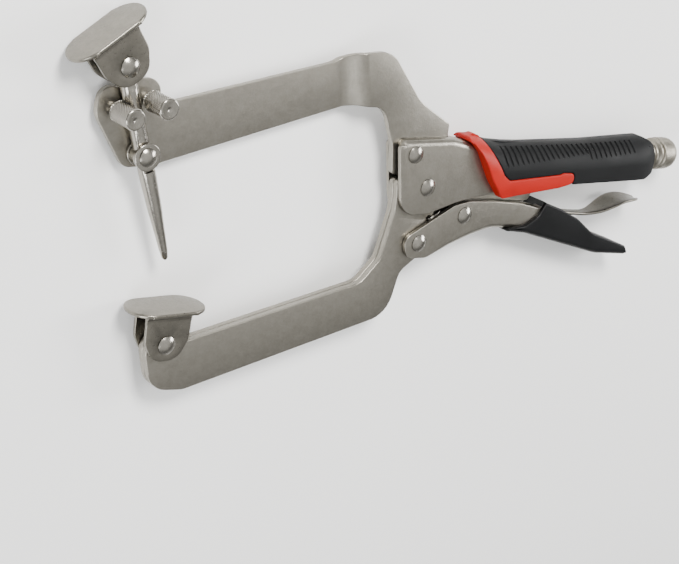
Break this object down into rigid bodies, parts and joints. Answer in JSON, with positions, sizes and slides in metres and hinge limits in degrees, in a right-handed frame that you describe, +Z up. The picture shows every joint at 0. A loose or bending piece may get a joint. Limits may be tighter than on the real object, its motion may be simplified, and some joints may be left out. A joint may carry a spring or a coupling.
{
  "type": "locking pliers",
  "caption": "Locking clamp pliers with deep throat arms, swivel pads and a swinging pocket-hole pin, closed by a toggle lever.",
  "frame": {"origin": "centre of the bounding box's underside, where the tool lies on its flat side", "axes": "+X along the handle to the adjusting screw, +Y towards the fixed jaw, +Z up out of the flat side"},
  "size_m": [0.352, 0.1648, 0.0239],
  "materials": {
    "satin_steel": "satin nickel plate",
    "bright_steel": "bright nickel plate",
    "spring_steel": "drawn",
    "black_rubber": "matte",
    "red_rubber": "satin",
    "black_vinyl": "satin"
  },
  "bodies": {
    "handle": {"upper_handle_channel": "satin_steel", "handle_grip_black": "black_rubber", "handle_grip_red": "red_rubber", "fixed_jaw_arm": "satin_steel", "fixed_jaw_rivet": "bright_steel", "jaw_pivot_rivet": "bright_steel", "spring_anchor_pin": "spring_steel", "rod_front_washer": "bright_steel", "rod_back_washer": "bright_steel", "rod_pivot_rivet": "bright_steel", "tension_spring": "spring_steel"},
    "adjusting_screw": {"adjusting_screw": "bright_steel"},
    "movable_jaw": {"movable_jaw_front_plate": "satin_steel", "movable_jaw_back_plate": "satin_steel", "lever_jaw_rivet": "bright_steel", "lower_pad_rivet": "bright_steel"},
    "lever": {"lower_lever_channel": "satin_steel", "lever_cover": "black_vinyl", "lever_link_rivet": "bright_steel", "release_lever_pin": "spring_steel"},
    "toggle_link": {"toggle_link": "satin_steel"},
    "release_lever": {"release_lever": "satin_steel"},
    "swing_rod": {"swing_rod": "bright_steel", "upper_pad_rivet": "bright_steel"},
    "upper_swivel_pad": {"upper_swivel_pad": "satin_steel"},
    "lower_swivel_pad": {"lower_swivel_pad": "satin_steel"},
    "stop_pin_left": {"stop_pin_left": "bright_steel"},
    "stop_pin_right": {"stop_pin_right": "bright_steel"}
  },
  "joints": [
    {"name": "jaw_open", "type": "hinge", "parent": "handle", "child": "movable_jaw", "pos_m": [0.00904, 0.00349, 0.011], "axis": [0, 0, 1], "range_deg": [0, 24], "deforming": ["tension_spring"]},
    {"name": "lever_swing", "type": "hinge", "parent": "movable_jaw", "child": "lever", "pos_m": [0.00954, -0.02331, 0.011], "axis": [0, 0, 1], "range_deg": [-70, 0]},
    {"name": "link_swing", "type": "hinge", "parent": "lever", "child": "toggle_link", "pos_m": [0.03484, -0.01121, 0.011], "axis": [0, 0, 1], "range_deg": [0, 71]},
    {"name": "release_press", "type": "hinge", "parent": "lever", "child": "release_lever", "pos_m": [0.08744, -0.01431, 0.011], "axis": [0, 0, 1], "range_deg": [-8, 0], "stiffness_Nm_per_rad": 0.05},
    {"name": "screw_advance", "type": "slide", "parent": "handle", "child": "adjusting_screw", "axis": [1, 0, 0], "range_m": [0, 0.012]},
    {"name": "rod_swing", "type": "hinge", "parent": "handle", "child": "swing_rod", "pos_m": [-0.13876, 0.02189, 0.0105], "axis": [0, 0, 1], "range_deg": [-2.3, 0.4]},
    {"name": "upper_pad_tilt", "type": "hinge", "parent": "swing_rod", "child": "upper_swivel_pad", "pos_m": [-0.15191, 0.05861, 0.0105], "axis": [0, 0, 1], "range_deg": [-50, 15]},
    {"name": "lower_pad_tilt", "type": "hinge", "parent": "movable_jaw", "child": "lower_swivel_pad", "pos_m": [-0.12046, -0.05971, 0.011], "axis": [0, 0, 1], "range_deg": [-25, 25]},
    {"name": "stop_pin_left_out", "type": "slide", "parent": "handle", "child": "stop_pin_left", "axis": [0, 0, 1], "range_m": [0, 0.014]},
    {"name": "stop_pin_right_out", "type": "slide", "parent": "handle", "child": "stop_pin_right", "axis": [0, 0, 1], "range_m": [0, 0.014]}
  ],
  "couplings": [
    {"joint": "lever_swing", "follows": "jaw_open", "ratio": -2.9},
    {"joint": "link_swing", "follows": "jaw_open", "ratio": 2.95}
  ]
}
